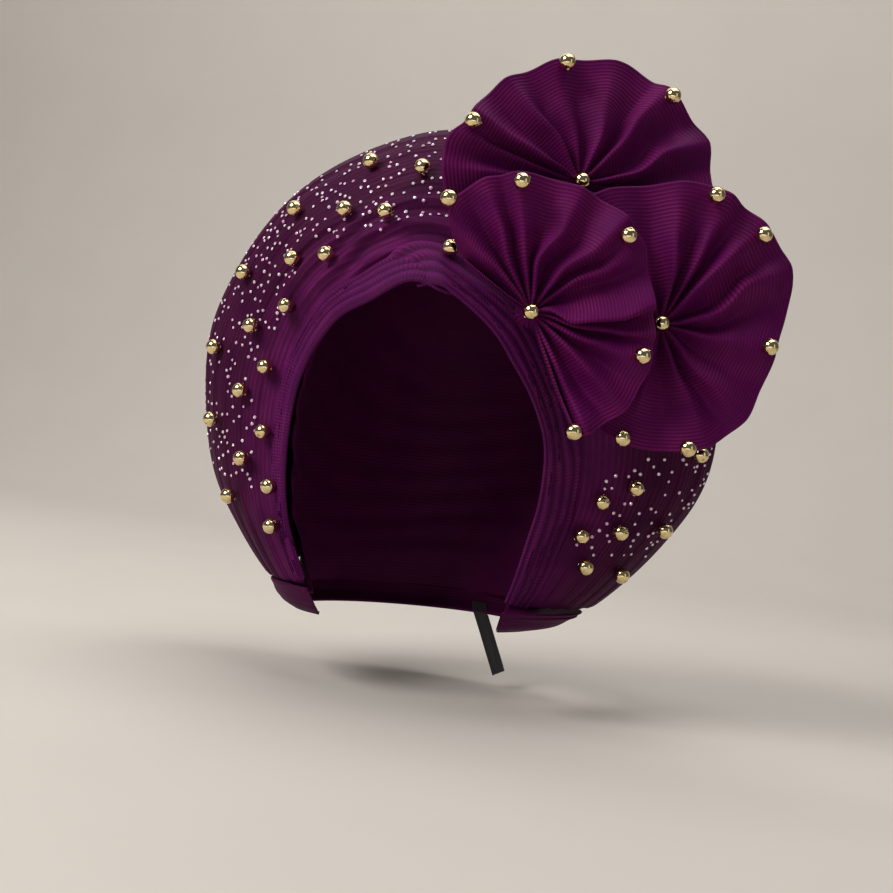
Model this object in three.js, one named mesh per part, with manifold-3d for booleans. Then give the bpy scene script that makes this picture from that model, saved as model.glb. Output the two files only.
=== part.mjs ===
// Tied gele head tie: a round pleated halo, two crossed forehead bands and three gathered fans.
// Millimetres, +Z up. The wearer looks along -Y and the wearer's left is +X. The origin is where
// the crown of the head meets the inside of the wrap.
import * as THREE from 'three';
import { mergeVertices } from 'three/addons/utils/BufferGeometryUtils.js';
import Module from 'manifold-3d';

const CLOTH = 2.2;                 // one folded layer of ribbed cloth
const CLEAR = 0.3;                 // gap between pieces that touch
const BEAD = { radius: 4.2, around: 10, along: 5, lowerFrom: 40 };
const DEG = Math.PI / 180;

// The rim of the halo is close to a circle that faces forward and leans back at the top
const RIM = { x: 4.5, z: -83, depth: 22, lean: 0.16 };

// One row for each section of the halo, from the left jaw over the top to the right jaw:
// rim angle and radius, the hem around the face, and the width and backward slope of the band
const SECTIONS = [
  { angle: 229, radius: 143.3, x: -50, y: -27, z: -190, band: 12, slope: 60 },
  { angle: 217, radius: 142, x: -56, y: -31, z: -176, band: 13, slope: 60 },
  { angle: 202, radius: 143, x: -63, y: -34, z: -157, band: 15, slope: 60 },
  { angle: 187, radius: 141, x: -67, y: -36, z: -133, band: 21, slope: 60 },
  { angle: 171, radius: 141.5, x: -67, y: -38, z: -102, band: 23, slope: 58 },
  { angle: 154, radius: 139, x: -61, y: -43, z: -77, band: 23, slope: 53 },
  { angle: 134, radius: 139, x: -44, y: -60, z: -55, band: 24, slope: 48 },
  { angle: 114, radius: 139, x: -25, y: -70, z: -44, band: 26, slope: 47 },
  { angle: 98, radius: 141, x: -7, y: -73, z: -33, band: 27, slope: 49 },
  { angle: 82, radius: 141, x: 9, y: -72, z: -36, band: 27, slope: 49 },
  { angle: 62, radius: 141, x: 34, y: -67, z: -51, band: 24, slope: 46 },
  { angle: 42, radius: 141, x: 49, y: -59, z: -68, band: 24, slope: 46 },
  { angle: 23, radius: 141, x: 60, y: -49, z: -86, band: 25, slope: 50 },
  { angle: 6, radius: 143, x: 66, y: -40, z: -105, band: 26, slope: 52 },
  { angle: -11, radius: 144, x: 66, y: -33, z: -130, band: 26, slope: 52 },
  { angle: -27, radius: 139, x: 62, y: -29, z: -152, band: 24, slope: 52 },
  { angle: -39, radius: 137, x: 58, y: -25, z: -171, band: 20, slope: 52 },
  { angle: -49, radius: 137, x: 54, y: -20, z: -185, band: 16, slope: 52 },
];
const LAST = SECTIONS.length - 1;

// The halo: a pleated front, rolled over at the rim, and a smooth back that returns to the wrap
const HALO = {
  pleats: 6,                       // main pleats from the bands to the rim
  pleatHeight: 1.6,
  under: 3,                        // how far the inner edge runs in under the band
  swell: 4,                        // how far the front swells towards the viewer
  rollStart: 0.7,                  // where across the front the roll over the rim begins
  rollDepth: 0.15,                 // share of the depth that is reached by then
  backReach: 46,                   // how far the back carries on behind the rim before turning in
  backInset: 4,
  backMargin: 3,                   // clearance of the back's inner edge from the wrap
  seat: { z: -98, half: 50, above: 62, below: 84 },   // oval where the back meets the wrap
  backRows: [0.25, 0.5, 0.76, 1],
};

// The wrap round the head, one ring for each height: reach to each side, to the front and back,
// and how much the ring rises towards the wearer's left
const RINGS = [
  { z: -202.4, left: 68.5, right: 66, front: -27, back: 77, rise: 0.048 },
  { z: -198.6, left: 77, right: 79, front: -32, back: 83, rise: 0.038 },
  { z: -194, left: 80.5, right: 86, front: -35, back: 87, rise: 0.033 },
  { z: -190.6, left: 81.5, right: 89, front: -37, back: 89, rise: 0.026 },
  { z: -190.1, left: 68, right: 67, front: -37, back: 90, rise: 0.031 },
  { z: -172, left: 66, right: 64, front: -48, back: 91, rise: 0 },
  { z: -154, left: 69, right: 65, front: -70, back: 94, rise: 0 },
  { z: -134, left: 71, right: 69, front: -78, back: 97, rise: 0 },
  { z: -106, left: 73, right: 73, front: -80, back: 98, rise: 0 },
  { z: -76, left: 71, right: 71, front: -76, back: 97, rise: 0 },
  { z: -46, left: 64, right: 64, front: -67, back: 88, rise: 0 },
  { z: -22, left: 50, right: 50, front: -45, back: 70, rise: 0 },
  { z: -6, left: 31, right: 31, front: -24, back: 45, rise: 0 },
];
const CROWN = { y: 10, z: 2.5 };   // top of the wrap
const WRAP = { sides: 32, lap: 3, middle: 20, open: 10 };
const JAW = { left: [-44, -202], right: [50, -200] };   // x and z where the face hem meets the neck
const FACE_CUT = { below: 20, depth: 120 };

// The two bands: where each starts and ends along the sections, and how its folds lie
const BANDS = [
  { name: 'forehead_band_left', from: 0.2, to: 9.6, skew: 0, lift: 0 },
  { name: 'forehead_band_right', from: 7.2, to: 17, skew: 1.1, lift: 4.8 },
];
const BAND = { folds: 4, foldHeight: 1.1, steps: 20, liftEnd: 10.8, liftFade: 2.2 };

// The three fans. Each faces the viewer, turned and tilted a little, and its outer side bends back
// over the halo. Rim rows give the angle and radius of the outline, folds the angle of each pleat,
// and beads the angle and radius of each bead.
const VIEW_TURN = 10;              // the viewer stands this far round to the wearer's left
const VIEW_LEAN = 7.5;             // the head leans this far to the viewer's right
const FANS = [
  { name: 'rosette_top', x: 63.7, y: -28.8, z: 29.1, turn: 15, tilt: 8, bend: 5,
    rim: [[-14, 73], [2, 73.5], [18, 75], [34, 73], [50, 69.5], [66, 68], [82, 64], [98, 62],
      [114, 60.8], [130, 62.5], [146, 64], [157, 66], [168, 72], [190, 71.5]],
    folds: [-6, 10, 26, 42, 57, 72, 88, 104, 120, 137, 154, 172, 186],
    beads: [[158, 62.5], [97.7, 58.2], [42.6, 65.2]] },
  { name: 'rosette_side', x: 112.5, y: -28.3, z: -36.1, turn: 4, tilt: 0, bend: 14,
    rim: [[-128, 60.6], [-109, 62], [-79, 64], [-64, 65], [-48, 63.7], [-32, 61.8], [-16, 60.8],
      [-8, 61.5], [4, 67], [16, 72], [28, 74.2], [40, 73], [55, 72.2], [70, 71.5], [90, 68.5],
      [105, 69], [122, 72.6]],
    folds: [-121, -105, -90, -76, -60, -44, -28, -12, 4, 20, 36, 52, 67, 82, 98, 114],
    beads: [[68, 66.4], [40.9, 66.5], [-11.7, 55.4], [-80.2, 62.3], [-110.8, 60.2]] },
  { name: 'rosette_front', x: 52.1, y: -60.8, z: -40.9, turn: 2, tilt: -2, bend: 8,
    rim: [[-71, 63], [-42, 65], [-28, 63], [0, 60], [13, 59.5], [26, 62], [40, 63.5], [67, 63],
      [84, 64], [101, 66], [127, 68], [138, 62], [148, 52]],
    folds: [-64, -50, -36, -22, -8, 6, 21, 36, 52, 68, 84, 100, 116, 131, 143],
    beads: [[127.3, 65], [95.2, 60.3], [37.9, 57.3], [-21.9, 56.4], [-71.2, 60]] },
];
const FAN = { hub: 6, dish: 8, hubFold: 0.5, foldHeight: 2.4, rimFold: 1.5, rings: 4 };
const KNOT = { top: 7, foot: 3.2, ball: 4.9, front: 0.6, sides: 12 };   // gathered cloth behind a fan

// Beads sewn on the halo: section number and share of the way from the band to the rim
const HALO_BEADS = [
  [1.75, 0.07], [1.9, 0.44], [2.55, 0.04], [2.75, 0.26], [3.45, 0.1], [3, 0.58], [3.75, 0.31],
  [4.4, 0.16], [3.95, 0.67], [4.7, 0.36], [5.4, 0.18], [5.05, 0.68], [5.8, 0.34], [6.3, 0.2],
  [6.05, 0.63], [6.75, 0.38], [7.55, 0.25], [7.15, 0.67], [8, 0.48], [13.55, 0.76], [14.6, 0.72],
  [13.85, 0.35], [14.6, 0.37], [14, 0.17], [14.65, 0.13], [15.6, 0.66], [15.4, 0.27],
  [8.7, 0.04],
];

// Tie at the nape: a ribbon that slants down from inside the hem
const TIE = { x: 22.5, top: -197, hem: -202, bottom: -236, width: 9, thick: 1.2, cut: 4.5, drift: 0.5 };
const TIE_STEPS = 6;
const TIE_MARGIN = 0.55;

// Value at place t along a list, on a smooth curve through its entries
function smooth(values, t) {
  const n = values.length;
  const i = Math.max(0, Math.min(Math.floor(t), n - 2));
  const f = t - i;
  const b = values[i];
  const c = values[i + 1];
  const a = i > 0 ? values[i - 1] : 2 * b - c;
  const d = i < n - 2 ? values[i + 2] : 2 * c - b;
  return b + 0.5 * f * (c - a + f * (2 * a - 5 * b + 4 * c - d + f * (3 * (b - c) + d - a)));
}

function column(rows, key, t) {
  return smooth(rows.map((row) => row[key]), t);
}

function hem(s) {
  return new THREE.Vector3(column(SECTIONS, 'x', s), column(SECTIONS, 'y', s), column(SECTIONS, 'z', s));
}

function rimPoint(s, inset = 0) {
  const angle = column(SECTIONS, 'angle', s) * DEG;
  const radius = column(SECTIONS, 'radius', s) - inset;
  const z = RIM.z + radius * Math.sin(angle);
  return new THREE.Vector3(RIM.x + radius * Math.cos(angle), RIM.depth - RIM.lean * (z - RIM.z), z);
}

// Direction from the face hem outward along the band: away from the face and backward
function outward(s) {
  const ahead = hem(s + 0.05);
  const behind = hem(s - 0.05);
  const along = ahead.sub(behind).setY(0).normalize();
  const out = new THREE.Vector3(-along.z, 0, along.x);
  const slope = column(SECTIONS, 'slope', s) * DEG;
  return out.multiplyScalar(Math.cos(slope)).setY(Math.sin(slope));
}

function bandEdge(s) {
  return hem(s).addScaledVector(outward(s), column(SECTIONS, 'band', s));
}

function ringAt(z) {
  let i = 0;
  while (i < RINGS.length - 2 && RINGS[i + 1].z < z) i += 1;
  const t = i + (z - RINGS[i].z) / (RINGS[i + 1].z - RINGS[i].z);
  const pick = (key) => column(RINGS, key, Math.max(0, Math.min(t, RINGS.length - 1)));
  return { left: pick('left'), right: pick('right'), front: pick('front'), back: pick('back') };
}

// Depth of the back of the wrap at a place seen from behind
function wrapBack(x, z) {
  const ring = ringAt(z);
  const reach = x < 0 ? ring.left : ring.right;
  const middle = (ring.front + ring.back) / 2;
  return middle + (ring.back - middle) * Math.sqrt(Math.max(0, 1 - (x / reach) ** 2));
}

function bezier(a, b, c, t) {
  const point = a.clone().multiplyScalar((1 - t) ** 2);
  return point.addScaledVector(b, 2 * t * (1 - t)).addScaledVector(c, t * t);
}

// Front of the halo: v runs from under the edge of the band, 0, to the rim, 1
function haloFront(s, v) {
  const out = outward(s);
  const slope = column(SECTIONS, 'slope', s) * DEG;
  const inner = bandEdge(s).addScaledVector(out.clone().setY(0).normalize(), -HALO.under);
  inner.y = bandEdge(s).y + CLOTH * Math.cos(slope) + CLEAR;
  const rim = rimPoint(s);
  const turn = inner.clone().lerp(rim, HALO.rollStart);
  turn.y = inner.y + HALO.rollDepth * (rim.y - inner.y) - HALO.swell;
  return bezier(inner, turn, rim, v);
}

// Back of the halo: v runs from the rim, 0, to the wrap behind the head, 1
function haloBack(s, v) {
  const rim = rimPoint(s);
  const angle = column(SECTIONS, 'angle', s) * DEG;
  const drop = Math.sin(angle) > 0 ? HALO.seat.above : HALO.seat.below;
  const x = HALO.seat.half * Math.cos(angle);
  const z = HALO.seat.z + drop * Math.sin(angle);
  const end = new THREE.Vector3(x, wrapBack(x, z) + HALO.backMargin, z);
  const turn = rimPoint(s, HALO.backInset).add(new THREE.Vector3(0, HALO.backReach, 0));
  return bezier(rim, turn, end, v);
}

function zigzag(share, count) {
  return 1 - Math.abs(2 * ((share * count) % 1) - 1);
}

function haloGrid() {
  const rows = [];
  const across = 2 * HALO.pleats;
  for (let i = 0; i <= 2 * LAST; i += 1) {
    const s = i / 2;
    const row = [];
    for (let j = 0; j <= across; j += 1) {
      const v = j / across;
      const point = haloFront(s, v);
      const ahead = haloFront(s, v + 0.01).sub(haloFront(s, v - 0.01));
      const along = haloFront(s + 0.01, v).sub(haloFront(s - 0.01, v));
      const up = along.cross(ahead).normalize();
      row.push(point.addScaledVector(up, HALO.pleatHeight * zigzag(v, HALO.pleats)));
    }
    HALO.backRows.forEach((v) => row.push(haloBack(s, v)));
    rows.push(row);
  }
  return rows;
}

// Grid of points to a closed thin wall: the grid is the outside and the wall lies behind it
function wall(grid, thickness) {
  const rows = grid.length;
  const cols = grid[0].length;
  const normal = (i, j) => {
    const a = grid[Math.min(i + 1, rows - 1)][j].clone().sub(grid[Math.max(i - 1, 0)][j]);
    const b = grid[i][Math.min(j + 1, cols - 1)].clone().sub(grid[i][Math.max(j - 1, 0)]);
    return a.cross(b).normalize();
  };
  const positions = [];
  grid.forEach((row) => row.forEach((p) => positions.push(p.x, p.y, p.z)));
  grid.forEach((row, i) => row.forEach((p, j) => {
    const q = p.clone().addScaledVector(normal(i, j), -thickness);
    positions.push(q.x, q.y, q.z);
  }));
  const outer = (i, j) => i * cols + j;
  const inner = (i, j) => rows * cols + i * cols + j;
  const faces = [];
  const quad = (a, b, c, d) => faces.push(a, b, c, a, c, d);
  for (let i = 0; i < rows - 1; i += 1) {
    for (let j = 0; j < cols - 1; j += 1) {
      quad(outer(i, j), outer(i + 1, j), outer(i + 1, j + 1), outer(i, j + 1));
      quad(inner(i, j), inner(i, j + 1), inner(i + 1, j + 1), inner(i + 1, j));
    }
  }
  for (let i = 0; i < rows - 1; i += 1) {
    quad(outer(i, 0), inner(i, 0), inner(i + 1, 0), outer(i + 1, 0));
    quad(outer(i, cols - 1), outer(i + 1, cols - 1), inner(i + 1, cols - 1), inner(i, cols - 1));
  }
  for (let j = 0; j < cols - 1; j += 1) {
    quad(outer(0, j), outer(0, j + 1), inner(0, j + 1), inner(0, j));
    quad(outer(rows - 1, j), inner(rows - 1, j), inner(rows - 1, j + 1), outer(rows - 1, j + 1));
  }
  const geometry = new THREE.BufferGeometry();
  geometry.setAttribute('position', new THREE.Float32BufferAttribute(positions, 3));
  geometry.setIndex(faces);
  return geometry;
}

// A closed mesh from manifold-3d and back
const wasm = await Module();
wasm.setup();

function toSolid(geometry) {
  const bare = geometry.clone();
  bare.deleteAttribute('normal');
  bare.deleteAttribute('uv');
  const merged = mergeVertices(bare, 1e-4);
  return new wasm.Manifold(new wasm.Mesh({
    numProp: 3,
    vertProperties: new Float32Array(merged.attributes.position.array),
    triVerts: new Uint32Array(merged.index.array),
  }));
}

function toGeometry(solid) {
  const mesh = solid.getMesh();
  const geometry = new THREE.BufferGeometry();
  geometry.setAttribute('position', new THREE.BufferAttribute(mesh.vertProperties, 3));
  geometry.setIndex(new THREE.BufferAttribute(mesh.triVerts, 1));
  return geometry;
}

// Closed skin through the rings, drawn in by the given amount and carried on below the hem
function wrapSkin(inset, below) {
  const rows = [...RINGS];
  if (below) rows.unshift({ ...RINGS[0], z: RINGS[0].z - below });
  const positions = [];
  rows.forEach((ring) => {
    const middle = (ring.front + ring.back) / 2;
    const half = (ring.back - ring.front) / 2 - inset;
    for (let k = 0; k < WRAP.sides; k += 1) {
      const a = (2 * Math.PI * k) / WRAP.sides;
      const reach = (Math.cos(a) > 0 ? ring.right : ring.left) - inset;
      const x = reach * Math.cos(a);
      positions.push(x, middle + half * Math.sin(a), ring.z + ring.rise * x - inset);
    }
  });
  const foot = positions.length / 3;
  positions.push(0, WRAP.middle, rows[0].z - inset, 0, CROWN.y, CROWN.z - inset);
  const faces = [];
  const n = WRAP.sides;
  for (let k = 0; k < n; k += 1) {
    const next = (k + 1) % n;
    faces.push(foot, next, k);
    for (let i = 0; i < rows.length - 1; i += 1) {
      faces.push(i * n + k, i * n + next, (i + 1) * n + next);
      faces.push(i * n + k, (i + 1) * n + next, (i + 1) * n + k);
    }
    const top = (rows.length - 1) * n;
    faces.push(foot + 1, top + k, top + next);
  }
  const geometry = new THREE.BufferGeometry();
  geometry.setAttribute('position', new THREE.Float32BufferAttribute(positions, 3));
  geometry.setIndex(faces);
  return toSolid(geometry);
}

// The opening for the face, a little inside the bands so that they cover its edge
function faceCutter() {
  const outline = new THREE.Shape();
  outline.moveTo(JAW.left[0], JAW.left[1] - FACE_CUT.below);
  outline.lineTo(...JAW.left);
  for (let s = 0; s <= LAST; s += 0.5) {
    const lap = WRAP.lap * Math.sin((Math.PI * s) / LAST);
    const edge = hem(s).addScaledVector(outward(s).setY(0).normalize(), lap);
    outline.lineTo(edge.x, edge.z);
  }
  outline.lineTo(...JAW.right);
  outline.lineTo(JAW.right[0], JAW.right[1] - FACE_CUT.below);
  const geometry = new THREE.ExtrudeGeometry(outline, { depth: FACE_CUT.depth, bevelEnabled: false });
  geometry.rotateX(Math.PI / 2);
  return toSolid(geometry);
}

function headWrap() {
  const shell = wrapSkin(0, 0).subtract(wrapSkin(CLOTH, WRAP.open));
  return toGeometry(shell.subtract(faceCutter()));
}

// One band: w runs from the hem by the face, 0, to the outer edge, 1
function bandPoint(band, s, w) {
  const out = outward(s);
  const along = hem(s + 0.05).sub(hem(s - 0.05)).normalize();
  const up = along.cross(out).normalize();
  const point = hem(s).addScaledVector(out, w * column(SECTIONS, 'band', s));
  const lift = band.lift * Math.max(0, Math.min(1, (BAND.liftEnd - s) / BAND.liftFade));
  return point.addScaledVector(up, lift + BAND.foldHeight * zigzag(w, BAND.folds));
}

function bandGrid(band) {
  const rows = [];
  for (let i = 0; i <= BAND.steps; i += 1) {
    const share = i / BAND.steps;
    const row = [];
    for (let j = 0; j <= 2 * BAND.folds; j += 1) {
      const w = j / (2 * BAND.folds);
      const from = band.from + band.skew * (1 - w);
      row.push(bandPoint(band, from + (band.to - from) * share, w));
    }
    rows.push(row);
  }
  return rows;
}

// Place of a fan: X to the viewer's right, Y up in the view, Z towards the viewer
function fanFrame(fan) {
  const turn = VIEW_TURN * DEG;
  const lean = VIEW_LEAN * DEG;
  const level = new THREE.Vector3(Math.cos(turn), Math.sin(turn), 0);
  const up = new THREE.Vector3(0, 0, 1);
  const right = level.clone().multiplyScalar(Math.cos(lean)).addScaledVector(up, Math.sin(lean));
  const rise = up.clone().multiplyScalar(Math.cos(lean)).addScaledVector(level, -Math.sin(lean));
  const frame = new THREE.Matrix4().makeBasis(right, rise, right.clone().cross(rise));
  frame.multiply(new THREE.Matrix4().makeRotationY(fan.turn * DEG));
  frame.multiply(new THREE.Matrix4().makeRotationX(-fan.tilt * DEG));
  return frame.setPosition(fan.x, fan.y, fan.z);
}

function rimRadius(fan, angle) {
  let k = 0;
  while (k < fan.rim.length - 2 && fan.rim[k + 1][0] < angle) k += 1;
  const t = k + (angle - fan.rim[k][0]) / (fan.rim[k + 1][0] - fan.rim[k][0]);
  return smooth(fan.rim.map((row) => row[1]), t);
}

function fanGrid(fan) {
  const first = fan.rim[0][0];
  const last = fan.rim[fan.rim.length - 1][0];
  const angles = [[first, 0]];
  fan.folds.forEach((angle, k) => {
    if (k > 0) angles.push([(angle + fan.folds[k - 1]) / 2, -1]);
    angles.push([angle, 1]);
  });
  angles.push([last, 0]);
  return angles.map(([angle, side]) => {
    const row = [];
    const reach = rimRadius(fan, angle);
    for (let j = 0; j <= FAN.rings; j += 1) {
      const share = j / FAN.rings;
      const r = FAN.hub + (reach - FAN.hub) * share;
      const fold = smooth([FAN.hubFold, FAN.foldHeight, FAN.rimFold], 2 * share);
      const x = r * Math.cos(angle * DEG);
      const bend = fan.bend * (Math.max(0, x) / reach) ** 2;
      const height = FAN.dish * share ** 0.8 + side * fold - bend;
      row.push(new THREE.Vector3(x, r * Math.sin(angle * DEG), height));
    }
    return row;
  });
}

// Shortest distance from a point to the faces of the given placed geometries
function distanceTo(point, geometries) {
  const triangle = new THREE.Triangle();
  const near = new THREE.Vector3();
  let best = Infinity;
  geometries.forEach((geometry) => {
    const { position } = geometry.attributes;
    const { array } = geometry.index;
    for (let k = 0; k < array.length; k += 3) {
      triangle.setFromAttributeAndIndices(position, array[k], array[k + 1], array[k + 2]);
      triangle.closestPointToPoint(point, near);
      best = Math.min(best, near.distanceTo(point));
    }
  });
  return best;
}

// Lowers a ball along a direction until it lies just clear of the cloth
function seat(start, direction, radius, geometries) {
  const point = start.clone();
  for (let step = 0; step < 40; step += 1) {
    const room = distanceTo(point, geometries) - radius - CLEAR;
    if (room < 0.01) break;
    point.addScaledVector(direction, room);
  }
  return point;
}

// A fan of cloth, in its own frame, with the gathered knot behind its middle that reaches down to
// the cloth under it. The end of the knot just fits inside the ball that found its seat.
function fanBody(fan, carriers) {
  const frame = fanFrame(fan);
  const back = new THREE.Vector3(0, 0, -1).transformDirection(frame);
  const root = new THREE.Vector3(0, 0, -CLOTH).applyMatrix4(frame);
  const foot = seat(root, back, KNOT.ball, carriers);
  const reach = foot.distanceTo(root) + Math.sqrt(KNOT.ball ** 2 - KNOT.foot ** 2);
  const length = KNOT.front + CLOTH + reach;
  const knot = new THREE.CylinderGeometry(KNOT.top, KNOT.foot, length, KNOT.sides);
  knot.rotateX(Math.PI / 2);
  knot.translate(0, 0, KNOT.front - length / 2);
  return toGeometry(toSolid(wall(fanGrid(fan), CLOTH)).add(toSolid(knot)));
}

function tieGrid() {
  const rows = [];
  for (let i = 0; i <= TIE_STEPS; i += 1) {
    const row = [];
    for (let j = 0; j <= 2; j += 1) {
      const across = j / 2;
      const drop = TIE.top - TIE.bottom - TIE.cut * across;
      const z = TIE.top - (drop * i) / TIE_STEPS;
      const x = TIE.x + TIE.width * across + TIE.drift * (TIE.top - z);
      const y = wrapBack(x, Math.max(z, TIE.hem)) - CLOTH - TIE.thick - TIE_MARGIN;
      row.push(new THREE.Vector3(x, y, z));
    }
    rows.push(row);
  }
  return rows;
}

const INK = {
  cloth: new THREE.MeshStandardMaterial({ color: 0x4a1440, roughness: 0.7, metalness: 0 }),
  gold: new THREE.MeshStandardMaterial({ color: 0xd9b25f, roughness: 0.2, metalness: 1 }),
  tape: new THREE.MeshStandardMaterial({ color: 0x0c080c, roughness: 0.8, metalness: 0 }),
};

function piece(name, geometry, material, parent) {
  geometry.computeVertexNormals();
  const mesh = new THREE.Mesh(geometry, material);
  mesh.name = name;
  parent.add(mesh);
  return mesh;
}

// A bead that comes down along a direction onto the cloth
function addBead(name, start, direction, geometries, parent) {
  const ball = new THREE.SphereGeometry(BEAD.radius, BEAD.around, BEAD.along);
  const mesh = piece(name, ball, INK.gold, parent);
  mesh.position.copy(seat(start, direction, BEAD.radius, geometries));
}

function addFan(fan, carriers, parent) {
  const group = new THREE.Group();
  fanFrame(fan).decompose(group.position, group.quaternion, group.scale);
  parent.add(group);
  const body = fanBody(fan, carriers);
  piece(fan.name, body, INK.cloth, group);
  const back = new THREE.Vector3(0, 0, -1);
  [[0, 0], ...fan.beads].forEach(([angle, radius], k) => {
    const x = radius * Math.cos(angle * DEG);
    const y = radius * Math.sin(angle * DEG);
    const above = new THREE.Vector3(x, y, BEAD.lowerFrom);
    addBead(`${fan.name}_bead_${k}`, above, back, [body], group);
  });
}

function addHaloBead([s, v], k, geometries, parent) {
  const across = haloFront(s, v + 0.02).sub(haloFront(s, v - 0.02));
  const along = haloFront(s + 0.02, v).sub(haloFront(s - 0.02, v));
  const out = along.cross(across).normalize();
  const above = haloFront(s, v).addScaledVector(out, BEAD.lowerFrom);
  addBead(`halo_bead_${k + 1}`, above, out.negate(), geometries, parent);
}

const gele = new THREE.Group();
const haloGeometry = wall(haloGrid(), CLOTH);
const bandGeometries = BANDS.map((band) => wall(bandGrid(band), CLOTH));
piece('head_wrap', headWrap(), INK.cloth, gele);
piece('halo_brim', haloGeometry, INK.cloth, gele);
BANDS.forEach((band, k) => piece(band.name, bandGeometries[k], INK.cloth, gele));
const carriers = [haloGeometry, ...bandGeometries];
FANS.forEach((fan) => addFan(fan, carriers, gele));
HALO_BEADS.forEach((place, k) => addHaloBead(place, k, carriers, gele));
piece('nape_tie', wall(tieGrid(), TIE.thick), INK.tape, gele);

export default gele;
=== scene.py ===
"""Tied gele head tie: a round pleated halo, two crossed forehead bands and three gathered fans.

Sizes in the tables are millimetres, +Z up. The wearer looks along -Y and the wearer's left is +X.
"""
import math

import bpy
import numpy as np
from bpy.props import FloatProperty, FloatVectorProperty, IntProperty, PointerProperty
from bpy.types import Operator, Panel, PropertyGroup
from mathutils import Matrix, Vector


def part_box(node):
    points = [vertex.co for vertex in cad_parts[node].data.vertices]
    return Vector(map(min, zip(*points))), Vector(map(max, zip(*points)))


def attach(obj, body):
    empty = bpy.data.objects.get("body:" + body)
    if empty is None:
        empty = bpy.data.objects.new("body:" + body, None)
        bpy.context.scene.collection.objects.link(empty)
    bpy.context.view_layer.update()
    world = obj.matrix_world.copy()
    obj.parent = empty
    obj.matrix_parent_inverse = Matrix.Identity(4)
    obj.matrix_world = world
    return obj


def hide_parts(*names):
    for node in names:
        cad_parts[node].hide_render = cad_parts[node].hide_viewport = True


bl_info = {
    "name": "Tied gele head tie",
    "version": (1, 0, 0),
    "blender": (4, 5, 0),
    "location": "3D View > Sidebar > Gele",
    "description": "Builds the cloth, beads and stones of a tied gele over its solid model",
    "category": "Add Mesh",
}

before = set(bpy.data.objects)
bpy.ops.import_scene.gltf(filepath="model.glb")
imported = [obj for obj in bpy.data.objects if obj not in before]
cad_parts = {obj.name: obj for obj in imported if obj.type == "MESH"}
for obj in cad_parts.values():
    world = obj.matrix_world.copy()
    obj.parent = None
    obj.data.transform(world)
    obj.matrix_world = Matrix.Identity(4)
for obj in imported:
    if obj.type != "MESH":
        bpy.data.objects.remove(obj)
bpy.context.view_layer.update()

MM = 0.001
# Thickness of the cloth, thickness of the fans' cloth, and the gap between the halo and a band
CLOTH = 2.2
FAN_CLOTH = 1.5
CLEAR = 0.3

# Sections of the halo from the lower left over the top to the lower right: angle and radius of the
# rim, x, y and z of the hem around the opening, and the width and backward slope of the band
SECTIONS = np.array([
    (229, 143.3, -50, -27, -190, 12, 60), (217, 142, -56, -31, -176, 13, 60),
    (202, 143, -63, -34, -157, 15, 60), (187, 141, -67, -36, -133, 21, 60),
    (171, 141.5, -67, -38, -102, 23, 58), (154, 139, -61, -43, -77, 23, 53),
    (134, 139, -44, -60, -55, 24, 48), (114, 139, -25, -70, -44, 26, 47),
    (98, 141, -7, -73, -33, 27, 49), (82, 141, 9, -72, -36, 27, 49),
    (62, 141, 34, -67, -51, 24, 46), (42, 141, 49, -59, -68, 24, 46),
    (23, 141, 60, -49, -86, 25, 50), (6, 143, 66, -40, -105, 26, 52),
    (-11, 144, 66, -33, -130, 26, 52), (-27, 139, 62, -29, -152, 24, 52),
    (-39, 137, 58, -25, -171, 20, 52), (-49, 137, 54, -20, -185, 16, 52),
], float)
ANGLE, RADIUS, HEM_X, HEM_Y, HEM_Z, WIDTH, SLOPE = range(7)
LAST = len(SECTIONS) - 1

# Middle of the rim, its depth and how far it leans back as it rises
RIM = {"x": 4.5, "z": -83, "depth": 22, "lean": 0.16}
HALO = {"under": 3, "swell": 4, "roll_start": 0.7, "roll_depth": 0.15, "back_reach": 46,
        "back_inset": 4, "back_margin": 3}
HALO_RIBS = 28
LOOSE_FOLD = 1.9
# Part of a pleat that rises, before it falls slowly
PLEAT_RISE = 0.3
# Mean radius of the halo, along which its cloth is measured
HALO_MEAN = 120
# Outline on the wrap where the back of the halo ends
SEAT = {"z": -98, "half": 50, "above": 62, "below": 84}

# Rings of the wrap: height, reach to the wearer's right and left, to front and back, and rise
RINGS = np.array([
    (-202.4, 68.5, 66, -27, 77, 0.048), (-198.6, 77, 79, -32, 83, 0.038),
    (-194, 80.5, 86, -35, 87, 0.033), (-190.6, 81.5, 89, -37, 89, 0.026),
    (-190.1, 68, 67, -37, 90, 0.031), (-172, 66, 64, -48, 91, 0), (-154, 69, 65, -70, 94, 0),
    (-134, 71, 69, -78, 97, 0), (-106, 73, 73, -80, 98, 0), (-76, 71, 71, -76, 97, 0),
    (-46, 64, 64, -67, 88, 0), (-22, 50, 50, -45, 70, 0), (-6, 31, 31, -24, 45, 0),
], float)
CROWN = {"y": 10, "z": 2.5}
# Mean radius of the wrap, along which its cloth is measured
WRAP_MEAN = 75
# Corners of the opening at the hem, x and z, how far its cut runs below them and forward, and how
# far the bands lap over its edge
CORNERS = ((-44, -202), (50, -200))
CUT_BELOW = 20
CUT_FRONT = -120
CUT_LAP = 3

BANDS = {
    "forehead_band_left": {"from": 0.2, "to": 9.6, "skew": 0, "lift": 0, "seed": 5},
    "forehead_band_right": {"from": 7.2, "to": 17, "skew": 1.1, "lift": 4.8, "seed": 8},
}
BAND_WIDTH = 25
BAND_PITCH = 1.6
BAND_RISE = 0.4
# Section where the upper band lies down on the halo, the sections that takes, and how far its
# start goes in under the lower band
LIFT_END = 10.8
LIFT_FADE = 2.2
BAND_SINK = 3.2

VIEW_TURN = 10
VIEW_LEAN = 7.5

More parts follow.
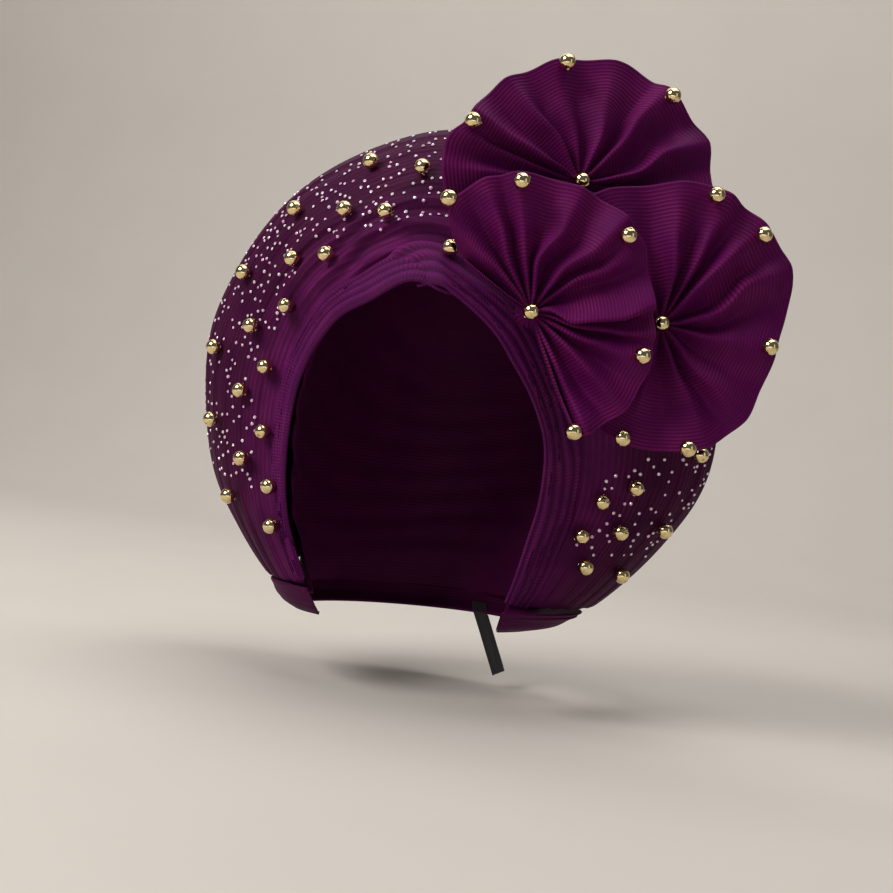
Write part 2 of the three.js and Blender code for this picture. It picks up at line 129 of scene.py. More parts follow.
# Fans: place, turn, tilt, bend and how far the ends are tucked under, then angle and radius of the
# outline. Each ridge has its angle near the middle and at the rim, its height, the part of it left
# at the rim, where the valley after it lies in the gap and how far it falls over to one side, in mm
FANS = {
    "rosette_top": {
        "place": (63.7, -28.8, 29.1), "turn": 15, "tilt": 8, "bend": 5, "tuck": 2, "seed": 11,
        "rim": [(-14, 73), (2, 73.5), (18, 75), (34, 73), (50, 69.5), (66, 68), (82, 64), (98, 62),
                (114, 60.8), (130, 62.5), (146, 64), (157, 66), (168, 72), (190, 71.5)],
        "ridges": [(-8, -6, 0.5, 0.6, 0.6, 0), (4, 18, 1.05, 0.7, 0.45, 2), (38, 45, 1.2, 0.45, 0.3, 2),
                   (65, 72, 1.0, 0.4, 0.55, 0), (95, 102, 0.75, 0.35, 0.5, 0),
                   (123, 129, 1.1, 0.5, 0.4, -1), (150, 151, 1.2, 0.6, 0.55, 2),
                   (165, 164, 0.7, 0.5, 0.5, 0), (179, 178, 0.6, 0.5, 0.5, 0)],
    },
    "rosette_side": {
        "place": (112.5, -28.3, -36.1), "turn": 4, "tilt": 0, "bend": 14, "tuck": 2, "seed": 23,
        "rim": [(-128, 60.6), (-109, 62), (-79, 64), (-64, 65), (-48, 63.7), (-32, 61.8), (-16, 60.8),
                (-8, 61.5), (4, 67), (16, 72), (28, 74.2), (40, 73), (55, 72.2), (70, 71.5),
                (90, 68.5), (105, 69), (122, 72.6)],
        "ridges": [(-107, -106, 0.85, 0.5, 0.5, 0), (-78, -72, 0.9, 0.35, 0.5, 1),
                   (-52, -47, 1.15, 0.6, 0.45, -2), (-17, -14, 0.85, 0.25, 0.6, 0),
                   (3, 22, 1.05, 0.6, 0.45, 2), (43, 43, 1.2, 0.5, 0.6, 1), (60, 61, 1.0, 0.45, 0.4, 0),
                   (80, 83, 1.15, 0.5, 0.45, -1), (112, 112, 0.9, 0.6, 0.5, 0)],
    },
    "rosette_front": {
        "place": (52.1, -60.8, -40.9), "turn": 2, "tilt": -2, "bend": 8, "tuck": 5, "seed": 37,
        "rim": [(-71, 63), (-42, 65), (-28, 63), (0, 60), (13, 59.5), (26, 62), (40, 63.5), (67, 63),
                (84, 64), (101, 66), (124, 65), (133, 57), (142, 40)],
        "ridges": [(-65, -66, 0.9, 0.7, 0.5, 0), (-45, -46, 1.15, 0.65, 0.5, 0),
                   (-30, -25, 0.95, 0.35, 0.6, 0), (-11, -9, 1.0, 0.6, 0.5, -3),
                   (8, 7, 1.3, 1.0, 0.65, -9), (38, 30, 0.85, 0.35, 0.5, -1),
                   (56, 45, 1.0, 0.6, 0.6, -1),
                   (82, 67, 1.15, 0.5, 0.45, 1), (97, 96, 0.9, 0.4, 0.5, 0),
                   (116, 110, 1.0, 0.5, 0.45, 0), (126, 131, 1.15, 0.65, 0.3, 1)],
    },
}
FAN_DISH = 8
FAN_HUB = 1.8
FAN_RIBS = 35
# Mean radius of a fan, along which its cloth is measured, and the knot behind it
FAN_MEAN = 66
KNOT = {"top": -1.4, "wide": 7.5, "taper": 4.3, "waist": 1.2, "around": 120}
# Part of a fan with only the bead at its middle, how far the middle of a bead stands over the
# cloth, and how widely the cloth follows it, in square millimetres
FAN_MIDDLE = 12
BEAD_SEAT = 5.1
BEAD_SPREAD = 160
BEAD_HOLE = 0.7

# Regions of the brim with stones: first and last section, first and last share of the front, count
STONE_FIELDS = [(2.1, 8.8, 0.18, 0.95, 290), (4.8, 8.8, 0.35, 0.9, 60), (13.45, 15.2, 0.12, 0.86, 58),
                (13.5, 14.3, 0.84, 0.97, 14)]
# Least distance of a stone from the next one and from the middle of a bead, and its height
STONE_GAP = 2.9
STONE_TO_BEAD = 6.5
STONE_SEAT = 0.55

TIE = {"x": 22.5, "top": -197, "hem": -202, "bottom": -236, "width": 9, "thick": 1.2, "cut": 4.5,
       "drift": 0.5, "margin": 0.55}

# Camera and the point that the lights are aimed at, in metres, then the floor's height, the radius
# of the curve up to the backdrop, where it starts and how far the paper reaches, in millimetres
CAMERA = (0.1308, -0.6877, -0.1097)
AIM = (0.03, -0.02, -0.08)
FLOOR = -243
CURVE = 700
BEHIND = 900
PAPER = 3200


def linear(code):
    """sRGB hex colour as linear values."""
    parts = [int(code[k:k + 2], 16) / 255 for k in (1, 3, 5)]
    return [c / 12.92 if c <= 0.04045 else ((c + 0.055) / 1.055) ** 2.4 for c in parts]


COLOUR = {"subtype": "COLOR", "size": 3, "min": 0, "max": 1}
POWER = {"unit": "POWER", "min": 0, "max": 500}


class GeleCloth(PropertyGroup):
    brim: FloatVectorProperty(
        name="Brim", description="Colour of the cloth of the halo",
        default=linear("#3a042c"), **COLOUR)
    band: FloatVectorProperty(
        name="Bands", description="Colour of the cloth of the two forehead bands",
        default=linear("#560b4b"), **COLOUR)
    fan: FloatVectorProperty(
        name="Fans", description="Colour of the cloth of the three fans",
        default=linear("#540244"), **COLOUR)
    wrap: FloatVectorProperty(
        name="Wrap", description="Colour of the cloth under the bands",
        default=linear("#440335"), **COLOUR)
    tape: FloatVectorProperty(
        name="Tape", description="Colour of the tape at the nape",
        default=linear("#120c12"), **COLOUR)
    rib: FloatProperty(
        name="Rib height", description="How far the ribs of the cloth stand up", unit="LENGTH",
        default=0.09 * MM, min=0, max=MM)
    fan_pitch: FloatProperty(
        name="Fan rib spacing", description="Distance from rib to rib on the fans", unit="LENGTH",
        default=1.75 * MM, min=0.5 * MM, max=5 * MM)
    brim_pitch: FloatProperty(
        name="Brim rib spacing", description="Distance from rib to rib on the halo", unit="LENGTH",
        default=2.1 * MM, min=0.5 * MM, max=5 * MM)


class GeleFolds(PropertyGroup):
    pleats: IntProperty(
        name="Main pleats", description="Main pleats between the bands and the rim",
        default=6, min=1, max=20)
    pleat: FloatProperty(
        name="Pleat height", description="Height of the main pleats of the halo", unit="LENGTH",
        default=1.2 * MM, min=0, max=5 * MM)
    gathers: IntProperty(
        name="Back gathers", description="Gathers in the back of the halo",
        default=34, min=4, max=90)
    gather: FloatProperty(
        name="Gather height", description="Height of the gathers at the back", unit="LENGTH",
        default=3.4 * MM, min=0, max=8 * MM)
    fan: FloatProperty(
        name="Fan fold height", description="Height of the fan folds half way out", unit="LENGTH",
        default=8.6 * MM, min=0, max=12 * MM)
    band_folds: IntProperty(
        name="Band folds", description="Folds along each forehead band", default=4, min=1, max=12)
    band: FloatProperty(
        name="Band fold height", description="Height of the folds of the bands", unit="LENGTH",
        default=1.9 * MM, min=0, max=5 * MM)


class GeleTrim(PropertyGroup):
    gold: FloatVectorProperty(
        name="Gold", description="Colour of the plated beads",
        default=linear("#e9d3a0"), **COLOUR)
    stone: FloatVectorProperty(
        name="Stones", description="Colour of the small stones",
        default=linear("#fbeef8"), **COLOUR)
    bead: FloatProperty(
        name="Bead radius", description="Radius of a gold bead", unit="LENGTH",
        default=4.2 * MM, min=MM, max=10 * MM)
    stone_size: FloatProperty(
        name="Stone radius", description="Radius of a stone at its girdle", unit="LENGTH",
        default=0.75 * MM, min=0.3 * MM, max=3 * MM)


class GeleStage(PropertyGroup):
    backdrop: FloatVectorProperty(
        name="Backdrop", description="Colour of the floor and the backdrop",
        default=linear("#ccc6bf"), **COLOUR)
    key: FloatProperty(
        name="Key light", description="Power of the large light at the upper left",
        default=23, **POWER)
    top: FloatProperty(
        name="Top light", description="Power of the light above",
        default=8, **POWER)
    low: FloatProperty(
        name="Low light", description="Power of the light in front of the hem",
        default=0.5, **POWER)
    side: FloatProperty(
        name="Side light", description="Power of the light at the right",
        default=0.8, **POWER)
    back: FloatProperty(
        name="Back light", description="Power of the light behind the halo",
        default=0.9, **POWER)
    wall: FloatProperty(
        name="Wall light", description="Power of the light on the backdrop",
        default=13, **POWER)
    lens: FloatProperty(
        name="Lens", description="Focal length on a 36 mm sensor", default=53.25, min=10, max=300)


# Curves and surfaces shared by the pieces


def smooth(values, t):
    """Values at places t along a list, on a smooth curve through its entries."""
    v = np.asarray(values, float)
    t = np.asarray(t, float)
    i = np.clip(np.floor(t).astype(int), 0, len(v) - 2)
    f = t - i
    b = v[i]
    c = v[i + 1]
    a = np.where(i > 0, v[np.maximum(i - 1, 0)], 2 * b - c)
    d = np.where(i < len(v) - 2, v[np.minimum(i + 2, len(v) - 1)], 2 * c - b)
    return b + 0.5 * f * (c - a + f * (2 * a - 5 * b + 4 * c - d + f * (3 * (b - c) + d - a)))


def ramp(x, low, high):
    """0 below low, 1 above high and an easy curve between them."""
    t = np.clip((np.asarray(x, float) - low) / (high - low), 0, 1)
    return t * t * (3 - 2 * t)


def wander(seed, t, count):
    """A smooth random curve between -1 and 1 for t from 0 to 1."""
    values = np.random.default_rng(seed).uniform(-1, 1, count)
    return smooth(values, np.clip(t, 0, 1) * (count - 1))


def unit(v):
    return v / np.maximum(np.linalg.norm(v, axis=-1, keepdims=True), 1e-12)


def column(key, s):
    return smooth(SECTIONS[:, key], s)


def hem(s):
    return np.stack([column(HEM_X, s), column(HEM_Y, s), column(HEM_Z, s)], -1)


def rim_point(s, inset=0.0):
    angle = np.radians(column(ANGLE, s))
    radius = column(RADIUS, s) - inset
    z = RIM["z"] + radius * np.sin(angle)
    y = RIM["depth"] - RIM["lean"] * (z - RIM["z"])
    return np.stack([RIM["x"] + radius * np.cos(angle), y, z], -1)


def outward(s):
    """Direction from the hem along the band: away from the opening and backward."""
    along = (hem(s + 0.05) - hem(s - 0.05)) * (1, 0, 1)
    along = unit(along)
    slope = np.radians(column(SLOPE, s))
    return np.stack([-along[..., 2] * np.cos(slope), np.sin(slope), along[..., 0] * np.cos(slope)], -1)


def band_edge(s):
    return hem(s) + outward(s) * column(WIDTH, s)[..., None]


def ring_at(z):
    """Reach to each side, front and back of the wrap at a height."""
    t = np.interp(z, RINGS[:, 0], np.arange(len(RINGS)))
    return [smooth(RINGS[:, k], t) for k in range(1, 5)]


def wrap_back(x, z):
    left, right, front, back = ring_at(z)
    reach = np.where(x < 0, left, right)
    middle = (front + back) / 2
    return middle + (back - middle) * np.sqrt(np.maximum(0, 1 - (x / reach) ** 2))


def bezier(a, b, c, t):
    t = np.asarray(t, float)[..., None]
    return a * (1 - t) ** 2 + b * 2 * t * (1 - t) + c * t * t


def halo_front(s, v):
    """Front of the halo, from under the edge of the band, 0, to the rim, 1."""
    slope = np.radians(column(SLOPE, s))
    edge = band_edge(s)
    inner = edge - HALO["under"] * unit(outward(s) * (1, 0, 1))
    inner[..., 1] = edge[..., 1] + CLOTH * np.cos(slope) + CLEAR
    rim = rim_point(s)
    turn = inner + HALO["roll_start"] * (rim - inner)
    turn[..., 1] = inner[..., 1] + HALO["roll_depth"] * (rim - inner)[..., 1] - HALO["swell"]
    return bezier(inner, turn, rim, v)


def halo_back(s, v):
    """Back of the halo, from the rim, 0, to the back of the wrap, 1."""
    angle = np.radians(column(ANGLE, s))
    drop = np.where(np.sin(angle) > 0, SEAT["above"], SEAT["below"])
    x = SEAT["half"] * np.cos(angle)
    z = SEAT["z"] + drop * np.sin(angle)
    end = np.stack([x, wrap_back(x, z) + HALO["back_margin"], z], -1)
    turn = rim_point(s, HALO["back_inset"]) + (0, HALO["back_reach"], 0)
    return bezier(rim_point(s), turn, end, v)


def band_point(band, s, w):
    """A forehead band without its folds, from the hem, 0, to the outer edge, 1, and its normal."""
    out = outward(s)
    along = unit(hem(s + 0.05) - hem(s - 0.05))
    up = unit(np.cross(along, out))
    lift = band["lift"] * np.clip((LIFT_END - s) / LIFT_FADE, 0, 1)
    return hem(s) + out * (w * column(WIDTH, s))[..., None] + up * lift[..., None], up


def view_basis():
    """Axes of the view: X to the viewer's right, Y up in the view, Z towards the viewer."""
    turn = math.radians(VIEW_TURN)
    lean = math.radians(VIEW_LEAN)
    level = Vector((math.cos(turn), math.sin(turn), 0))
    up = Vector((0, 0, 1))
    right = level * math.cos(lean) + up * math.sin(lean)
    rise = up * math.cos(lean) - level * math.sin(lean)
    return Matrix((right, rise, right.cross(rise))).transposed().to_4x4()


def fan_frame(fan):
    """Place of a fan: its own X, Y and Z are those of the view, turned and tilted."""
    basis = view_basis() @ Matrix.Rotation(math.radians(fan["turn"]), 4, "Y")
    basis = basis @ Matrix.Rotation(math.radians(-fan["tilt"]), 4, "X")
    return np.array(Matrix.Translation(fan["place"]) @ basis)


def placed(matrix, points):
    return points @ matrix[:3, :3].T + matrix[:3, 3]


def unplaced(matrix, points):
    return (points - matrix[:3, 3]) @ matrix[:3, :3]


def basis_along(axis, spin):
    """Turns +Z to an axis, after a spin about it."""
    return np.array(Vector(axis).to_track_quat("Z", "Y").to_matrix() @ Matrix.Rotation(spin, 3, "Z"))


def node_centre(node):
    return np.mean(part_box(node), axis=0) / MM


def nodes_of(start):
    return [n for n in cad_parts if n.startswith(start)]


def normals(grid):
    """Direction out of a grid of points."""
    return unit(np.cross(np.gradient(grid, axis=0), np.gradient(grid, axis=1)))


def run_along(points):
    """Length along each column of points, up to each of its points."""
    steps = np.linalg.norm(np.diff(points, axis=0), axis=-1)
    return np.concatenate([0 * steps[:1], np.cumsum(steps, 0)])


def cloth_place(across, along):
    """Places on the cloth in metres, from millimetres across and along it."""
    return np.stack(np.broadcast_arrays(across, along), -1) * MM


def with_edges(steps, near):
    """The steps with a few more close to each end, so that an edge of the cloth comes out round."""
    more = near * np.array([0.12, 0.4, 0.8])
    return np.unique(np.concatenate([steps, steps[0] + more, steps[-1] - more]))


def edge_distance(grid):
    """Distance of each point of a grid from the nearest edge of the sheet."""
    top = run_along(grid)
    left = run_along(grid.swapaxes(0, 1)).T
    return np.minimum.reduce([top, top[-1:] - top, left, left[:, -1:] - left])


def make_object(name, points, faces, uv, material):
    """A smooth object from points in millimetres, faces and the UV of each corner in metres."""
    mesh = bpy.data.meshes.new(name)
    mesh.from_pydata((points * MM).tolist(), [], faces)
    if uv is not None:
        layer = mesh.uv_layers.new(name="cloth")
        corners = np.empty(len(mesh.loops), np.int32)
        mesh.loops.foreach_get("vertex_index", corners)
        layer.data.foreach_set("uv", np.asarray(uv, np.float32)[corners].ravel())
    mesh.shade_smooth()
    mesh.materials.append(material)
    piece = bpy.data.objects.new(name, mesh)
    bpy.context.scene.collection.objects.link(piece)
    return piece


def tube_faces(rows, around, inward=False):
    """Numbers of the points in closed rings, those of their neighbours, and the faces between."""
    n = np.arange(rows * around).reshape(rows, around)
    m = np.roll(n, -1, 1)
    corners = [n[:-1], m[:-1], m[1:], n[1:]]
    if inward:
        corners = corners[:1] + corners[:0:-1]
    return n, m, np.stack(corners, -1).reshape(-1, 4).tolist()


def lathe(profile, around):
    """Points and faces of a turned shape: rows of radius and height, closed at both poles."""
    a = np.linspace(0, 2 * np.pi, around, endpoint=False)
    ring = np.stack([np.cos(a), np.sin(a), np.zeros(around)], -1)
    points = np.vstack([ring * r + (0, 0, h) for r, h in profile])
    n, _, faces = tube_faces(len(profile), around)
    return points, [*faces, n[0, ::-1].tolist(), n[-1].tolist()]


def joined(parts):
    """Many small shapes as one list of points and faces."""
    points, faces, start = [], [], 0
    for p, f in parts:
        points.append(p)
        faces += [[k + start for k in face] for face in f]
        start += len(p)
    return np.vstack(points), faces


def cloth_sheet(name, middle, thick, uv, material, rib=None):
    """A closed wall of cloth around a grid of points. rib is how far the outside stands up."""
    rows, cols = middle.shape[:2]
    normal = normals(middle)
    near = np.clip(edge_distance(middle) / (thick / 2), 0, 1)
    half = (thick / 2 * np.sqrt(1 - (1 - near) ** 2))[..., None]
    proud = 0 if rib is None else (rib * near)[..., None]
    front = middle + (half + proud) * normal
    back = middle - half * normal
    number = np.arange(rows * cols).reshape(rows, cols)
    under = number.copy()
    under[1:-1, 1:-1] = rows * cols + np.arange((rows - 2) * (cols - 2)).reshape(rows - 2, cols - 2)
    points = np.vstack([front.reshape(-1, 3), back[1:-1, 1:-1].reshape(-1, 3)])
    places = np.vstack([uv.reshape(-1, 2), uv[1:-1, 1:-1].reshape(-1, 2)])

    def quads(n):
        return np.stack([n[:-1, :-1], n[1:, :-1], n[1:, 1:], n[:-1, 1:]], -1).reshape(-1, 4)

    faces = np.vstack([quads(number), quads(under)[:, ::-1]]).tolist()
    return make_object(name, points, faces, places, material)


# Materials


def add(tree, kind, inputs=None, **settings):
    """A shader node with its settings and values, linked to the nodes or sockets it is given."""
    node = tree.nodes.new("ShaderNode" + kind)
    for key, value in settings.items():
        setattr(node, key, value)
    for key, value in (inputs or {}).items():
        if isinstance(value, bpy.types.Node):
            # A mix of colours gives its result at its third output
            value = value.outputs[2 if value.bl_idname == "ShaderNodeMix" else 0]
        if isinstance(value, bpy.types.NodeSocket):
            tree.links.new(value, node.inputs[key])
        else:
            node.inputs[key].default_value = value
    return node


def new_material(name):
    material = bpy.data.materials.new(name)
    material.use_nodes = True
    material.node_tree.nodes.clear()
    return material, material.node_tree, add(material.node_tree, "TexCoord")


def shade(colour, factor):
    return [min(1, c * factor) for c in colour] + [1]


def finish_material(tree, inputs):
    """Principled shader with linked inputs and with uniform values on its own sockets."""
    shader = add(tree, "BsdfPrincipled", inputs)
    add(tree, "OutputMaterial", {"Surface": shader})


def ribbed_cloth(name, colour, pitch, contrast, relief, inner=None, edge=None, fold=None):
    """Corded polyester taffeta, woven: thin ribs on dark plum, lighter along their crests by a painted
    highlight, clearest where the cloth is pulled tight, with a faint satin sheen. inner is the colour
    next to the bands and edge the place of the rolled rim, darkened by painted shade, both along the
    cloth. fold is the distance of lengthwise folds, with painted shade down in their creases."""
    material, tree, coords = new_material(name)
    place = add(tree, "SeparateXYZ", {0: coords.outputs["UV"]})
    turns = 2 * math.pi / pitch
    across = add(tree, "Math", {0: place.outputs["Y"], 1: turns}, operation="MULTIPLY")
    wave = add(tree, "Math", {0: across}, operation="COSINE")
    rib = add(tree, "MapRange", {0: wave, 1: 1.0, 2: -1.0, 3: 0.0, 4: 1.0})
    # Crests of the ribs, where the highlight is painted
    line = add(tree, "MapRange", {0: rib, 1: 0.55, 2: 1.0, 3: 0.0, 4: 1.0},
               interpolation_type="SMOOTHSTEP")
    # Cords of yarn along each rib, really 0.3 mm apart and drawn at 1.1 mm so that they show
    yarn_turns = 2 * math.pi / (1.1 * MM)
    along = add(tree, "Math", {0: place.outputs["X"], 1: yarn_turns, 2: across},
                operation="MULTIPLY_ADD")
    yarn = add(tree, "Math", {0: along}, operation="SINE")
    cord = add(tree, "Math", {0: yarn, 1: rib}, operation="MULTIPLY")
    # Patches some 20 mm wide where the painted highlight on the ribs shows more, and uneven dye
    patch = add(tree, "TexNoise", {"Vector": coords.outputs["Object"], "Scale": 45.0, "Detail": 2.0})
    fuzz = add(tree, "TexNoise", {"Vector": coords.outputs["Object"], "Scale": 900.0, "Detail": 2.0})
    show = add(tree, "MapRange", {0: patch, 1: 0.38, 2: 0.66, 3: 0.25, 4: 1.0})
    tone = add(tree, "Math", {0: line, 1: show}, operation="MULTIPLY")
    tone = add(tree, "Math", {0: tone, 1: contrast}, operation="MULTIPLY")
    tone = add(tree, "Math", {0: cord, 1: 0.1, 2: tone}, operation="MULTIPLY_ADD")
    tone = add(tree, "Math", {0: fuzz, 1: 0.16, 2: tone}, operation="MULTIPLY_ADD")

    def dye_and_painted_rib_highlight(own):
        """The dye, lighter along the ribs: a painted highlight on their crests, and the yarn's own
        cords and fuzz.
        """
        # Painted highlight on the rib crests: the plum made lighter and greyer
        light = [min(1, c * 2.2 + 0.02) for c in own] + [1]
        return add(tree, "Mix", {0: tone, 6: shade(own, 0.85), 7: light}, data_type="RGBA")

    base = dye_and_painted_rib_highlight(colour)
    if inner is not None:
        plum = dye_and_painted_rib_highlight(inner)
        away = add(tree, "MapRange", {0: place.outputs["Y"], 1: 2 * MM, 2: 24 * MM, 3: 0.0, 4: 1.0})
        base = add(tree, "Mix", {0: away, 6: plum, 7: base},
                   data_type="RGBA")
    cool = [colour[0] * 0.7, colour[1] * 0.9, colour[2] * 1.05, 1]
    mottle = add(tree, "MapRange", {0: patch, 1: 0.62, 2: 0.38, 3: 0.0, 4: 0.4})
    dye_and_painted_light = add(tree, "Mix", {0: mottle, 6: base, 7: cool}, data_type="RGBA")
    if edge is not None:
        # Painted shade along the rolled rim, where the cloth turns away from the light
        gap = add(tree, "Math", {0: place.outputs["Y"], 1: edge}, operation="SUBTRACT")
        gap = add(tree, "Math", {0: gap}, operation="ABSOLUTE")
        wear_and_rim_shade = add(tree, "MapRange", {0: gap, 1: 0.6 * MM, 2: 2.4 * MM, 3: 0.7, 4: 0.0})
        dye_and_painted_light = add(tree, "Mix", {0: wear_and_rim_shade, 6: dye_and_painted_light, 7: (0.012, 0.008, 0.009, 1)},
                   data_type="RGBA")
    if fold is not None:
        # Painted shade down in the creases of the lengthwise folds
        painted_crease_shade = add(tree, "Math", {0: place.outputs["X"], 1: 2 * math.pi / fold}, operation="MULTIPLY")
        painted_crease_shade = add(tree, "Math", {0: painted_crease_shade}, operation="COSINE")
        painted_crease_shade = add(tree, "MapRange", {0: painted_crease_shade, 1: 0.1, 2: 1.0, 3: 0.0, 4: 0.6})
        dye_and_painted_light = add(tree, "Mix", {0: painted_crease_shade, 6: dye_and_painted_light, 7: shade(colour, 0.2)},
                   data_type="RGBA")
    rough = add(tree, "MapRange", {0: patch, 1: 0.2, 2: 0.8, 3: 0.5, 4: 0.66})
    height = add(tree, "Math", {0: cord, 1: 0.25, 2: rib}, operation="MULTIPLY_ADD")
    height = add(tree, "Math", {0: fuzz, 1: 0.4, 2: height}, operation="MULTIPLY_ADD")
    bump = add(tree, "Bump", {"Strength": relief, "Distance": 0.3 * MM, "Height": height})
    finish_material(tree, {
        "Base Color": dye_and_painted_light, "Roughness": rough, "Normal": bump,
        "Sheen Weight": 0.01, "Sheen Roughness": 0.4, "Sheen Tint": (1.0, 0.5, 0.9, 1),
        "IOR": 1.5, "Specular IOR Level": 0.06,
    })
    return material


def plated_bead(name, colour):
    """Gold-plated acrylic, tumbled: mirror bright, a little uneven, darker in fine scratches."""
    material, tree, coords = new_material(name)
    dent = add(tree, "TexNoise", {"Vector": coords.outputs["Object"], "Scale": 260.0, "Detail": 2.0})
    grime = add(tree, "TexNoise", {"Vector": coords.outputs["Object"], "Scale": 700.0, "Detail": 4.0})
    wear_and_rim_shade = add(tree, "MapRange", {0: grime, 1: 0.5, 2: 0.75, 3: 0.0, 4: 0.6})
    base = add(tree, "Mix", {0: wear_and_rim_shade, 6: shade(colour, 1), 7: shade(colour, 0.55)},
               data_type="RGBA")
    rough = add(tree, "MapRange", {0: grime, 1: 0.3, 2: 0.8, 3: 0.05, 4: 0.22})
    bump = add(tree, "Bump", {"Strength": 0.25, "Distance": 0.25 * MM, "Height": dent})
    finish_material(tree, {
        "Base Color": base, "Roughness": rough, "Normal": bump,
        "Metallic": 1.0,
    })
    return material


def foiled_stone(name, colour):
    """Foil-backed glass rhinestone, cut and polished: bright facets, white with a touch of pink."""
    material, tree, coords = new_material(name)
    spread = add(tree, "TexNoise", {"Vector": coords.outputs["Object"], "Scale": 350.0, "Detail": 1.0})
    part = add(tree, "MapRange", {0: spread, 1: 0.35, 2: 0.65, 3: 0.0, 4: 1.0})
    pink = [colour[0] * 0.85, colour[1] * 0.5, colour[2] * 0.75, 1]
    base = add(tree, "Mix", {0: part, 6: shade(colour, 1), 7: pink}, data_type="RGBA")
    rough = add(tree, "MapRange", {0: spread, 1: 0.3, 2: 0.7, 3: 0.04, 4: 0.15})
    finish_material(tree, {
        "Base Color": base, "Roughness": rough, "Metallic": 0.15, "IOR": 1.56,
        "Coat Weight": 0.8, "Coat Roughness": 0.03,
    })
    return material


def woven_tape(name, colour):
    """Black polyester tape, plain woven: matt, with a fine herringbone relief."""
    material, tree, coords = new_material(name)
    place = add(tree, "SeparateXYZ", {0: coords.outputs["UV"]})
    # Threads 0.5 mm apart, really finer, slanting one way and then the other
    turns = 2 * math.pi / (0.5 * MM)
    sway = add(tree, "Math", {0: place.outputs["X"], 1: 3 * MM}, operation="PINGPONG")
    slant = add(tree, "Math", {0: sway, 1: place.outputs["Y"]}, operation="ADD")
    turn = add(tree, "Math", {0: slant, 1: turns}, operation="MULTIPLY")
    thread = add(tree, "Math", {0: turn}, operation="SINE")
    tone = add(tree, "MapRange", {0: thread, 1: -1.0, 2: 1.0, 3: 0.0, 4: 1.0})
    base = add(tree, "Mix", {0: tone, 6: shade(colour, 0.5), 7: shade(colour, 2.2)},
               data_type="RGBA")
    bump = add(tree, "Bump", {"Strength": 0.5, "Distance": 0.15 * MM, "Height": tone})
    rough = add(tree, "MapRange", {0: tone, 1: 0.0, 2: 1.0, 3: 0.85, 4: 0.6})
    finish_material(tree, {
        "Base Color": base, "Roughness": rough, "Normal": bump,
        "Sheen Weight": 0.1, "IOR": 1.5,
    })
    return material


def matt_paper(name, colour):
    """Seamless background paper, uncoated: matt and even."""
    material, tree, coords = new_material(name)
    grain = add(tree, "TexNoise", {"Vector": coords.outputs["Object"], "Scale": 9.0, "Detail": 4.0})
    base = add(tree, "Mix", {0: grain, 6: shade(colour, 0.97), 7: shade(colour, 1.03)},
               data_type="RGBA")
    finish_material(tree, {"Base Color": base, "Roughness": 0.9})
    return material


def seat_piece(piece, slot, *nodes):
    """Puts a piece on the one body and hides the nodes that it stands for. slot, the name of its
    finish, is not used.
    """
    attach(piece, "root")
    if nodes:
        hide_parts(*nodes)


# Operators


class GELE_OT_stage(Operator):
    """Makes the camera, the lights and the seamless floor and backdrop"""
    bl_idname = "gele.stage"
    bl_label = "Stage"

    def execute(self, context):
        look = context.scene.gele_stage
        data = bpy.data.cameras.new("camera")
        data.lens = look.lens
        data.sensor_width = 36
        camera = bpy.data.objects.new("camera", data)
        camera.matrix_world = Matrix.Translation(CAMERA) @ view_basis()
        context.scene.collection.objects.link(camera)
        context.scene.camera = camera

        def softbox(name, place, size, power, colour, aim=AIM, spread=math.pi):
            light = bpy.data.lights.new(name, "AREA")
            light.shape = "RECTANGLE"
            light.size, light.size_y = size
            light.energy = power
            light.color = colour
            light.spread = spread
            lamp = bpy.data.objects.new(name, light)
            lamp.location = place
            toward = Vector(aim) - Vector(place)
            lamp.rotation_euler = toward.to_track_quat("-Z", "Y").to_euler()
            lamp.visible_camera = False
            context.scene.collection.objects.link(lamp)

        softbox("key_light", (-1.0, -0.95, 0.9), (0.8, 0.7), look.key, (1, 0.97, 0.93))
        softbox("top_light", (0.2, -0.15, 1.25), (1.1, 0.8), look.top, (1, 0.98, 0.95))
        softbox("low_light", (0.15, -0.9, -0.17), (0.9, 0.12), look.low, (1, 0.96, 0.9))
        softbox("back_light", (-0.5, 1.25, 0.9), (0.9, 0.7), look.back, (1, 0.98, 0.95), spread=2.4)
        softbox("wall_light", (0, 0.5, 1.5), (2.6, 0.6), look.wall, (1, 0.98, 0.95), (0, 1.6, 0.1))
        softbox("side_light", (1.15, -0.7, 0.15), (0.35, 0.9), look.side, (0.95, 0.97, 1))
        world = bpy.data.worlds.new("studio")
        world.use_nodes = True
        background = world.node_tree.nodes["Background"]
        background.inputs["Color"].default_value = (0.95, 0.97, 1, 1)
        background.inputs["Strength"].default_value = 0.11
        context.scene.world = world
        context.scene.view_settings.view_transform = "Standard"

        # Floor, then a wide curve up to a wall behind
        bend = np.radians(np.linspace(0, 90, 19))
        depth = np.concatenate([[-2600, -600], BEHIND + CURVE * np.sin(bend), [BEHIND + CURVE]])
        height = np.concatenate([[0, 0], CURVE * (1 - np.cos(bend)), [PAPER]]) + FLOOR
        sides = np.linspace(-PAPER, PAPER, 9)
        count = len(sides)
        points = np.stack([
            np.tile(sides, len(depth)), np.repeat(depth, count), np.repeat(height, count)], -1)
        n = np.arange(len(points)).reshape(-1, count)
        faces = np.stack([n[:-1, :-1], n[:-1, 1:], n[1:, 1:], n[1:, :-1]], -1).reshape(-1, 4).tolist()
        paper = make_object("backdrop", points, faces, None,
                            matt_paper("background paper", look.backdrop))
        return {"FINISHED"}


